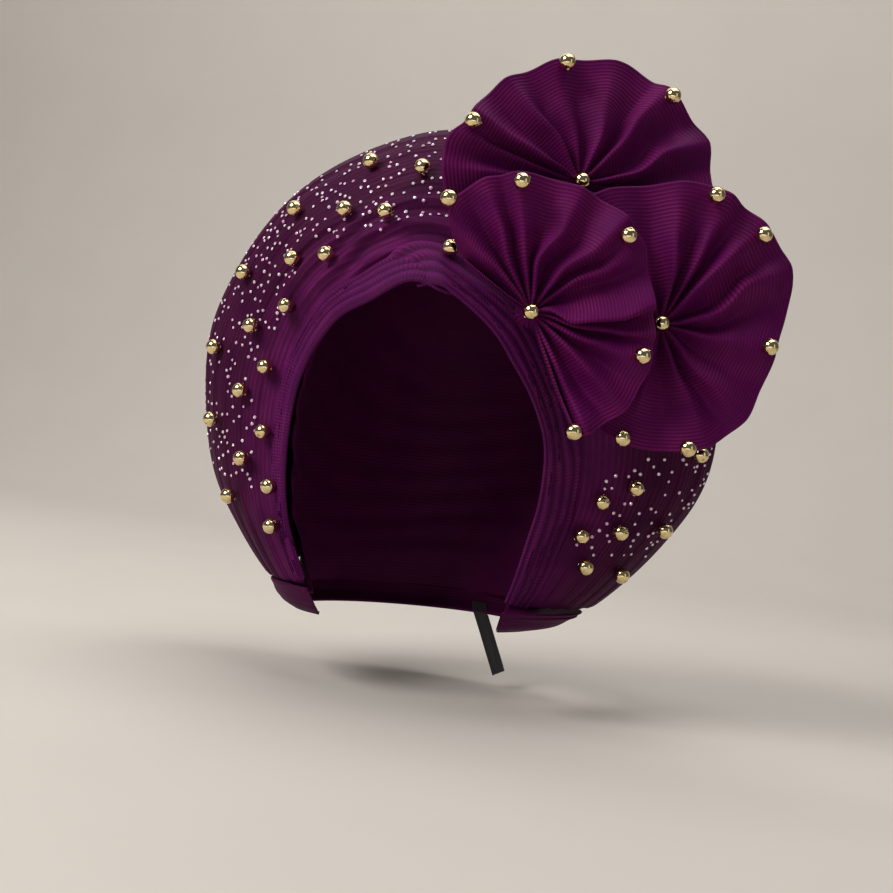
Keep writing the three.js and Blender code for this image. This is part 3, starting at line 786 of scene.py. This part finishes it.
class GELE_OT_wrap(Operator):
    """Makes the cloth of the bonnet, open in front"""
    bl_idname = "gele.wrap"
    bl_label = "Head wrap"

    def skin(self, inset, around, rows, dome):
        """Rings of points from the hem to near the crown."""
        t = np.linspace(0, len(RINGS) - 1, rows)
        t = np.append(t, np.full(dome, t[-1]))[:, None]
        z, left, right, front, back, rise = [smooth(RINGS[:, k], t) for k in range(6)]
        shrink = 1 - np.append(np.zeros(rows), np.linspace(0, 1, dome + 2)[1:-1])[:, None]
        lift = (CROWN["z"] - RINGS[-1, 0]) * (1 - shrink ** 2)
        a = np.linspace(0, 2 * np.pi, around, endpoint=False)[None, :]
        middle = (front + back) / 2
        middle = middle * shrink + CROWN["y"] * (1 - shrink)
        half = ((back - front) / 2 - inset) * shrink
        reach = (np.where(np.cos(a) > 0, right, left) - inset) * shrink
        x = reach * np.cos(a)
        # Soft folds where the cloth was pulled round to the back
        turn = np.sin(a) * 0.5 + 0.5
        slip = z / 17 + 1.2 * turn + 0.5 * np.sin(2 * a + z / 40)
        soft = 0.55 * np.sin(2 * np.pi * slip) * ramp(z, -188, -170) * ramp(-z, 8, 40)
        soft = soft * (0.4 + 0.6 * turn)
        reach_out = 1 + soft / 70
        return np.stack([x * reach_out, middle + half * np.sin(a) * reach_out,
                         z + lift + rise * x - inset], -1)

    def execute(self, context):
        cloth = context.scene.gele_cloth
        around, rows, dome = 160, 96, 9
        outer = self.skin(0, around, rows, dome)
        inner = self.skin(CLOTH, around, rows, dome)
        inner[0] += (0, 0, CLOTH)
        lip = (outer[:1] + inner[:1]) / 2 - (0, 0, 0.9)
        grid = np.concatenate([inner[::-1], lip, outer])
        total = len(grid)
        crown = np.array([(0, CROWN["y"], CROWN["z"] - CLOTH), (0, CROWN["y"], CROWN["z"])], float)
        points = np.vstack([grid.reshape(-1, 3), crown])
        n, m, faces = tube_faces(total, around)
        top = total * around
        faces += [(top, b, a) for a, b in zip(n[0].tolist(), m[0].tolist())]
        faces += [(top + 1, a, b) for a, b in zip(n[-1].tolist(), m[-1].tolist())]
        step = np.linalg.norm(np.diff(grid, axis=0), axis=-1).mean(1)
        up = np.concatenate([[0], np.cumsum(step)])
        place = np.linspace(0, 2 * np.pi, around, endpoint=False)
        uv = np.stack([np.tile(place * WRAP_MEAN, total), np.repeat(up, around)], -1)
        uv = np.vstack([uv, [(0, 0), (0, up[-1])]]) * MM
        wrap = make_object("gele_wrap", points, faces, uv,
                           ribbed_cloth("wrap cloth", cloth.wrap, 2.0 * MM, 0.15, 0.3))
        self.open_front(context, wrap)
        seat_piece(wrap, "wrap_cloth", "head_wrap")
        return {"FINISHED"}

    def open_front(self, context, wrap):
        """Cuts the opening in front, a little inside the bands so that they cover its edge."""
        s = np.linspace(0, LAST, 69)
        lap = CUT_LAP * np.sin(np.pi * s / LAST)
        edge = hem(s) + unit(outward(s) * (1, 0, 1)) * lap[:, None]
        left, right = CORNERS
        outline = [(left[0], left[1] - CUT_BELOW), left, *edge[:, [0, 2]].tolist(), right,
                   (right[0], right[1] - CUT_BELOW)]
        count = len(outline)
        points = np.array([(x, y, z) for y in (0, CUT_FRONT) for x, z in outline], float)
        faces = [tuple(range(count)), tuple(range(2 * count - 1, count - 1, -1))]
        for k in range(count):
            j = (k + 1) % count
            faces.append((k, k + count, j + count, j))
        cutter = make_object("front_cutter", points, faces, None, wrap.data.materials[0])
        cut = wrap.modifiers.new("front", "BOOLEAN")
        cut.operation = "DIFFERENCE"
        cut.solver = "MANIFOLD"
        cut.object = cutter
        shape = bpy.data.meshes.new_from_object(
            wrap.evaluated_get(context.evaluated_depsgraph_get()))
        wrap.modifiers.clear()
        if len(shape.polygons) < 1000:
            raise RuntimeError("the opening in front took the whole wrap away")
        wrap.data = shape
        wrap.data.shade_smooth()
        bpy.data.objects.remove(cutter)


class GELE_OT_halo(Operator):
    """Makes the pleated halo with its rolled rim and gathered back"""
    bl_idname = "gele.halo"
    bl_label = "Halo"

    def execute(self, context):
        cloth = context.scene.gele_cloth
        folds = context.scene.gele_folds
        s, v, grid = halo_surface(folds)
        rows, cols = grid.shape[:2]
        front = v <= 1
        rib = np.zeros((rows, cols))
        depth = cloth.rib / MM * (0.5 - 0.5 * np.cos(2 * np.pi * v * HALO_RIBS))
        rib[:, front] = depth[front]
        across = np.where(front, v * HALO_RIBS * cloth.brim_pitch / MM, 0.0)
        last = across[front].max()
        run = run_along(grid[rows // 2])
        across[~front] = last + run[~front] - run[front][-1]
        length = np.radians(SECTIONS[0, ANGLE] - column(ANGLE, s)) * HALO_MEAN
        uv = cloth_place(length[:, None], across[None, :])
        middle = grid - CLOTH / 2 * normals(grid)
        halo = cloth_sheet("gele_halo", middle, CLOTH, uv,
                           ribbed_cloth("brim cloth", cloth.brim, cloth.brim_pitch, 0.28, 0.4,
                                        cloth.band, HALO_RIBS * cloth.brim_pitch), rib)
        seat_piece(halo, "brim_cloth", "halo_brim")
        return {"FINISHED"}


def halo_surface(folds):
    """Sections, shares (front to 1, back to 2) and the outside of the halo without its ribs."""
    s = with_edges(np.linspace(0, LAST, 262), 0.03)
    per_rib = 4
    v_front = with_edges(np.linspace(0, 1, HALO_RIBS * per_rib + 1), 0.02)
    v_front = v_front[v_front <= 0.95]
    v_back = with_edges(np.linspace(0.045, 1, 34), 0.01)[3:]
    bend = np.linspace(0, 1, 9)[1:-1]
    rows = s[:, None]
    first = halo_front(rows, v_front[None, :])
    second = halo_back(rows, v_back[None, :])
    a, c = first[:, -1:], second[:, :1]
    b = 2 * rim_point(s)[:, None] - (a + c) / 2
    corner = bezier(a, b, c, bend[None, :])
    base = np.concatenate([first, corner, second], 1)
    v = np.concatenate([v_front, 0.95 + 0.05 * bend, 1 + v_back])
    normal = normals(base)
    share = s / LAST
    # Main pleats: a quick rise and a slow fall, uneven along the halo
    x = v[None, :] * folds.pleats + 0.2 * wander(3, share, 14)[:, None] * np.sin(np.pi * v)[None, :]
    f = x % 1
    crest = np.where(f < PLEAT_RISE, np.sin(np.pi / 2 * f / PLEAT_RISE),
                     np.cos(np.pi / 2 * (f - PLEAT_RISE) / (1 - PLEAT_RISE)))
    strength = 0.75 + 0.35 * wander(7, share, 24)[:, None]
    height = folds.pleat / MM * crest * strength
    height = np.where(v[None, :] <= 1, height * ramp(1 - v, 0, 0.12)[None, :], 0)
    # Looser folds next to the bands at the top
    top = ramp(s, 4.4, 6.4) * (1 - ramp(s, 9.5, 11))
    loose = np.sin(2 * np.pi * (v[None, :] * 7.5 + 0.3 * wander(9, share, 20)[:, None]))
    near = (1 - ramp(v, 0.2, 0.55)) * ramp(v, 0, 0.06)
    height = height + LOOSE_FOLD * top[:, None] * loose * near[None, :]
    # Gathers that draw the back in to the wrap
    w = np.clip(v - 1, 0, 1)[None, :]
    turn = share * folds.gathers + 0.9 * wander(13, share, 18)
    gather = 0.5 + 0.5 * np.cos(2 * np.pi * turn[:, None])
    size = 0.6 + 0.4 * wander(17, share, 40)[:, None]
    size = size * ramp(w, 0.05, 0.6) * (1 - 0.5 * ramp(w, 0.8, 1))
    height = height + folds.gather / MM * gather * size
    return s, v, base + normal * height[..., None]


class GELE_OT_bands(Operator):
    """Makes the two folded bands that cross over the forehead"""
    bl_idname = "gele.bands"
    bl_label = "Forehead bands"

    def execute(self, context):
        cloth = context.scene.gele_cloth
        folds = context.scene.gele_folds
        pitch = BAND_WIDTH / folds.band_folds
        material = ribbed_cloth("band cloth", cloth.band, BAND_PITCH * MM, 0.35, 0.4,
                                fold=pitch * MM)
        for name, band in BANDS.items():
            share = with_edges(np.linspace(0, 1, 220), 0.006)[:, None]
            w = with_edges(np.linspace(0, 1, 84), 0.05)[None, :]
            start = band["from"] + band["skew"] * (1 - w)
            s = start + (band["to"] - start) * share
            if band["lift"] == 0:
                # Its end is tucked in under the band that crosses over it
                w = w + 0.2 * (1 - w) * ramp(s, 8.9, 9.6)
            point, up = band_point(band, s, w)
            # The upper band comes out from under the lower one like a fold
            hidden = np.where(band["lift"] > 0, 1 - ramp(s - start, 0, 0.9), 0)
            point = point - up * (hidden * (band["lift"] + BAND_SINK))[..., None]
            seed = band["seed"]
            drift = 0.5 * wander(seed, share, 8) + 0.3 * wander(seed + 1, share, 14) * w
            x = w * folds.band_folds + drift * np.sin(np.pi * w)
            # Each fold steps up quickly on its inner side and falls slowly outward
            f = (x - 0.2) % 1
            crest = np.where(f < BAND_RISE, 0.5 - 0.5 * np.cos(np.pi * f / BAND_RISE),
                             0.5 + 0.5 * np.cos(np.pi * (f - BAND_RISE) / (1 - BAND_RISE)))
            near = wander(seed + 2, share, 12)
            far = wander(seed + 3, share, 12)
            size = 0.7 + 0.3 * (near * (1 - w) + far * w)
            height = folds.band / MM * crest * size * ramp(w, 0, 0.08) * ramp(1 - w, 0, 0.08)
            grid = point + up * height[..., None]
            run = run_along(hem(s[:, 0]))
            # The ribs lie across the band
            uv = cloth_place((x - 0.2) * pitch, run[:, None])
            middle = grid - CLOTH / 2 * normals(grid)
            piece = cloth_sheet(f"gele_{name}", middle, CLOTH, uv, material)
            seat_piece(piece, "band_cloth", name)
        return {"FINISHED"}


class GELE_OT_rosettes(Operator):
    """Makes the three gathered fans and the knots behind them"""
    bl_idname = "gele.rosettes"
    bl_label = "Rosettes"

    def surface(self, fan, tall, beads):
        """Angles, shares and middle of a fan in its own frame. Rows follow the ridges."""
        rim = np.array(fan["rim"], float)
        ridges = np.array(fan["ridges"], float)
        count = len(ridges)
        first, last = rim[0, 0], rim[-1, 0]
        share = with_edges(np.linspace(0, 1, FAN_RIBS * 4 + 1), 0.016)[None, :]
        t = with_edges(np.linspace(0, count + 1, 20 * count + 21), 0.05)
        places = np.arange(count + 2)
        at_hub = np.interp(t, places, [first, *ridges[:, 0], last])[:, None]
        at_rim = np.interp(t, places, [first, *ridges[:, 1], last])[:, None]
        theta = at_hub + (at_rim - at_hub) * ramp(share, 0.3, 0.65)
        # Each gap falls from one ridge to its valley and climbs to the next; the ends lie low
        gap = np.clip(np.floor(t), 0, count).astype(int)
        f = t - gap
        valley = np.concatenate([[1e-6], ridges[:-1, 4], [1 - 1e-6]])[gap]
        c = np.where(f < valley, 1 - f / valley, (f - valley) / (1 - valley))[:, None]
        own = np.clip(np.where(f < valley, gap - 1, gap), 0, count - 1)
        tallness, left_over, over = [ridges[own, k][:, None] for k in (2, 3, 5)]
        # Thin pinched ridges near the middle that open to broad lobes
        opening = ramp(share, 0.15, 0.8)
        broad = 0.5 - 0.5 * np.cos(np.pi * c)
        profile = c ** 1.5 * (1 - opening) + (0.35 * c ** 1.5 + 0.65 * broad) * opening
        size = tallness * (1 - (1 - left_over) * ramp(share, 0.45, 1))
        swell = smooth([0.45, 0.95, 1.0, 0.9, 0.7], share * 4)
        fine = 0.12 * np.sin(6 * np.pi * t + fan["seed"])[:, None] * (1 - ramp(share, 0.15, 0.5))
        height = tall * swell * (profile * size - 0.5) + fine * swell
        radius = smooth(rim[:, 1], np.interp(theta, rim[:, 0], np.arange(len(rim))))
        radius = radius + 0.8 * (broad - 0.5)
        r = FAN_HUB + (radius - FAN_HUB) * share
        lean = over * profile * ramp(share, 0.08, 0.35) * (1 - 0.5 * ramp(share, 0.7, 1))
        angle = np.radians(theta) + lean / np.maximum(r, 6)
        x = r * np.cos(angle)
        y = r * np.sin(angle)
        bend = fan["bend"] * (np.maximum(0, x) / radius) ** 2
        z = FAN_DISH * share ** 0.8 + height - bend
        ends = np.where((gap == 0) | (gap == count), 1.0, 0.0)[:, None]
        z = z - fan["tuck"] * ends * (1 - c) ** 1.5 * ramp(share, 0, 0.35)
        z = z + 0.7 * wander(fan["seed"] + 1, t / (count + 1), 16)[:, None] * share
        # The cloth comes up or down to each bead that is sewn on near the rim
        for bx, by, bz in beads:
            if math.hypot(bx, by) < FAN_MIDDLE:
                continue
            apart = (x - bx) ** 2 + (y - by) ** 2
            seat = bz - BEAD_SEAT
            z = z + (seat - z.ravel()[apart.argmin()]) * np.exp(-apart / BEAD_SPREAD)
        return theta, share, np.stack([x, y, z], -1)

    def knot(self, name, fan, matrix, material):
        """Gathered cloth behind the middle of a fan, bound with thread, down to its seat."""
        solid = bpy.data.objects[name]
        local = unplaced(matrix, np.array([v.co for v in solid.data.vertices]) / MM)
        middle = np.linalg.norm(local[:, :2], axis=1) < 5
        foot = local[middle, 2].min() + 0.3
        top, around = KNOT["top"], KNOT["around"]
        a = np.linspace(0, 2 * np.pi, around, endpoint=False)[None, :]
        t = np.linspace(0, 1, 40)[:, None]
        waist = KNOT["waist"] * np.exp(-((t - 0.35) / 0.12) ** 2)
        radius = KNOT["wide"] - KNOT["taper"] * t ** 0.7 - waist
        radius = radius + 0.45 * np.sin(17 * a + 2 * t) * (1 - 0.6 * t)
        z = top + (foot - top) * t + 0 * a
        grid = np.stack([radius * np.cos(a), radius * np.sin(a), z], -1)
        ends = np.array([(0, 0, z[0, 0]), (0, 0, z[-1, 0])])
        points = np.vstack([grid.reshape(-1, 3), ends])
        n, m, faces = tube_faces(len(grid), around, inward=True)
        end = grid[..., 0].size
        faces += [(end, j, k) for j, k in zip(n[0].tolist(), m[0].tolist())]
        faces += [(end + 1, k, j) for j, k in zip(n[-1].tolist(), m[-1].tolist())]
        uv = cloth_place(a * 5, t * 12).reshape(-1, 2)
        uv = np.vstack([uv, np.zeros((2, 2))])
        piece = make_object(f"{name}_knot", placed(matrix, points), faces, uv, material)
        seat_piece(piece, "rosette_cloth")
        return piece

    def execute(self, context):
        cloth = context.scene.gele_cloth
        folds = context.scene.gele_folds
        material = ribbed_cloth("fan cloth", cloth.fan, cloth.fan_pitch, 0.42, 0.24)
        for name, fan in FANS.items():
            matrix = fan_frame(fan)
            beads = unplaced(matrix, np.array([node_centre(n) for n in nodes_of(f"{name}_bead_")]))
            theta, share, middle = self.surface(fan, folds.fan / MM, beads)
            rib = cloth.rib / MM * (0.5 - 0.5 * np.cos(2 * np.pi * share * FAN_RIBS))
            rib = np.broadcast_to(rib, middle.shape[:2])
            uv = cloth_place(np.radians(theta) * FAN_MEAN, share * FAN_RIBS * cloth.fan_pitch / MM)
            # Rows run round the fan and columns outward, so the grid is turned to face the viewer
            piece = cloth_sheet(f"gele_{name}", placed(matrix, middle)[:, ::-1], FAN_CLOTH,
                                uv[:, ::-1], material, rib[:, ::-1])
            knot = self.knot(name, fan, matrix, material)
            seat_piece(piece, "rosette_cloth", name)
        return {"FINISHED"}


class GELE_OT_beads(Operator):
    """Makes the gold beads, drilled through and sewn on"""
    bl_idname = "gele.beads"
    bl_label = "Gold beads"

    def execute(self, context):
        trim = context.scene.gele_trim
        radius = trim.bead / MM
        start = math.asin(BEAD_HOLE / radius)
        turn = np.linspace(start, math.pi - start, 19)
        # The drilled hole is a small dimple with a crisp edge at either end
        mouth = radius * math.cos(start)
        profile = [(BEAD_HOLE * 0.7, -mouth + 0.9), (BEAD_HOLE, -mouth + 0.12)]
        profile += [(radius * math.sin(t), -radius * math.cos(t)) for t in turn]
        profile += [(BEAD_HOLE, mouth - 0.12), (BEAD_HOLE * 0.7, mouth - 0.9)]
        points, faces = lathe(profile, 28)
        rng = np.random.default_rng(42)
        material = plated_bead("gold-plated acrylic", trim.gold)
        for group in ("halo", *FANS):
            nodes = nodes_of(f"{group}_bead_")
            parts = []
            for node in nodes:
                axis = (rng.uniform(-1, 1), rng.uniform(-0.9, 0.2), rng.uniform(-1, 1))
                turned = points @ basis_along(axis, rng.uniform(0, 6)).T
                parts.append((turned + node_centre(node), faces))
            piece = make_object(f"gele_{group}_beads", *joined(parts), None, material)
            seat_piece(piece, "gold_bead", *nodes)
        return {"FINISHED"}


class GELE_OT_stones(Operator):
    """Sets the small faceted stones on the brim"""
    bl_idname = "gele.stones"
    bl_label = "Stones"

    def stone(self, radius):
        """A cut stone on its cup: table, crown, girdle and the cup below."""
        profile = [(0.85, -0.25), (1.12, -0.1), (1.12, 0.12), (0.98, 0.16), (0.6, 0.62)]
        return lathe([(r * radius, h * radius) for r, h in profile], 8)

    def execute(self, context):
        trim = context.scene.gele_trim
        s_list, v_list, grid = halo_surface(context.scene.gele_folds)
        normal = normals(grid)
        beads = np.array([node_centre(n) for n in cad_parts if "_bead_" in n])
        rng = np.random.default_rng(77)
        shape, faces = self.stone(trim.stone_size / MM)
        parts, taken = [], np.zeros((0, 3))
        for s0, s1, v0, v1, count in STONE_FIELDS:
            made, tries = 0, 0
            while made < count and tries < 20000:
                tries += 1
                s = rng.uniform(s0, s1)
                v = rng.uniform(v0, v1)
                i = np.searchsorted(s_list, s)
                j = np.searchsorted(v_list, v)
                place = grid[i, j]
                if np.linalg.norm(beads - place, axis=1).min() < STONE_TO_BEAD:
                    continue
                if len(taken) and np.linalg.norm(taken - place, axis=1).min() < STONE_GAP:
                    continue
                up = unit(normal[i, j] + rng.normal(0, 0.08, 3))
                turned = shape @ basis_along(up, rng.uniform(0, 6)).T
                parts.append((turned * rng.uniform(0.85, 1.15) + place + up * STONE_SEAT, faces))
                taken = np.vstack([taken, place])
                made += 1
        piece = make_object("gele_stones", *joined(parts), None,
                            foiled_stone("foiled rhinestone", trim.stone))
        piece.data.shade_flat()
        seat_piece(piece, "crystal")
        return {"FINISHED"}


class GELE_OT_tape(Operator):
    """Makes the end of tape that hangs at the nape"""
    bl_idname = "gele.tape"
    bl_label = "Nape tape"

    def execute(self, context):
        across = with_edges(np.linspace(0, 1, 15), 0.04)[None, :]
        t = with_edges(np.linspace(0, 1, 60), 0.01)[:, None]
        drop = TIE["top"] - TIE["bottom"] - TIE["cut"] * across
        z = TIE["top"] - drop * t
        x = TIE["x"] + TIE["width"] * across + TIE["drift"] * (TIE["top"] - z)
        y = wrap_back(x, np.maximum(z, TIE["hem"])) - CLOTH - TIE["thick"] - TIE["margin"]
        y = y + 0.25 * np.sin(7 * t + 2 * across) * ramp(t, 0.2, 0.6)
        grid = np.stack([x, y, z], -1)
        middle = grid - TIE["thick"] / 2 * normals(grid)
        length = TIE["top"] - TIE["bottom"] + 2
        uv = cloth_place(TIE["width"] * across, length * t)
        material = woven_tape("polyester tape", context.scene.gele_cloth.tape)
        piece = cloth_sheet("nape_tape", middle, TIE["thick"], uv, material)
        seat_piece(piece, "black_tape", "nape_tie")
        return {"FINISHED"}


class GELE_PT_parts(Panel):
    bl_label = "Gele"
    bl_idname = "GELE_PT_parts"
    bl_space_type = "VIEW_3D"
    bl_region_type = "UI"
    bl_category = "Gele"

    def draw(self, context):
        for step in STEPS:
            self.layout.operator(step.bl_idname)


STEPS = [GELE_OT_stage, GELE_OT_tape, GELE_OT_wrap, GELE_OT_halo, GELE_OT_bands,
         GELE_OT_rosettes, GELE_OT_beads, GELE_OT_stones]
SETTINGS = {"gele_cloth": GeleCloth, "gele_folds": GeleFolds, "gele_trim": GeleTrim,
            "gele_stage": GeleStage}


def register():
    for group in SETTINGS.values():
        bpy.utils.register_class(group)
    for name, group in SETTINGS.items():
        setattr(bpy.types.Scene, name, PointerProperty(type=group))
    for step in [*STEPS, GELE_PT_parts]:
        bpy.utils.register_class(step)


def unregister():
    for step in [*STEPS, GELE_PT_parts]:
        bpy.utils.unregister_class(step)
    for name, group in SETTINGS.items():
        delattr(bpy.types.Scene, name)
        bpy.utils.unregister_class(group)


def main():
    register()
    bpy.ops.gele.stage()
    bpy.ops.gele.tape()
    bpy.ops.gele.wrap()
    bpy.ops.gele.halo()
    bpy.ops.gele.bands()
    bpy.ops.gele.rosettes()
    bpy.ops.gele.beads()
    bpy.ops.gele.stones()


if __name__ == "__main__":
    main()
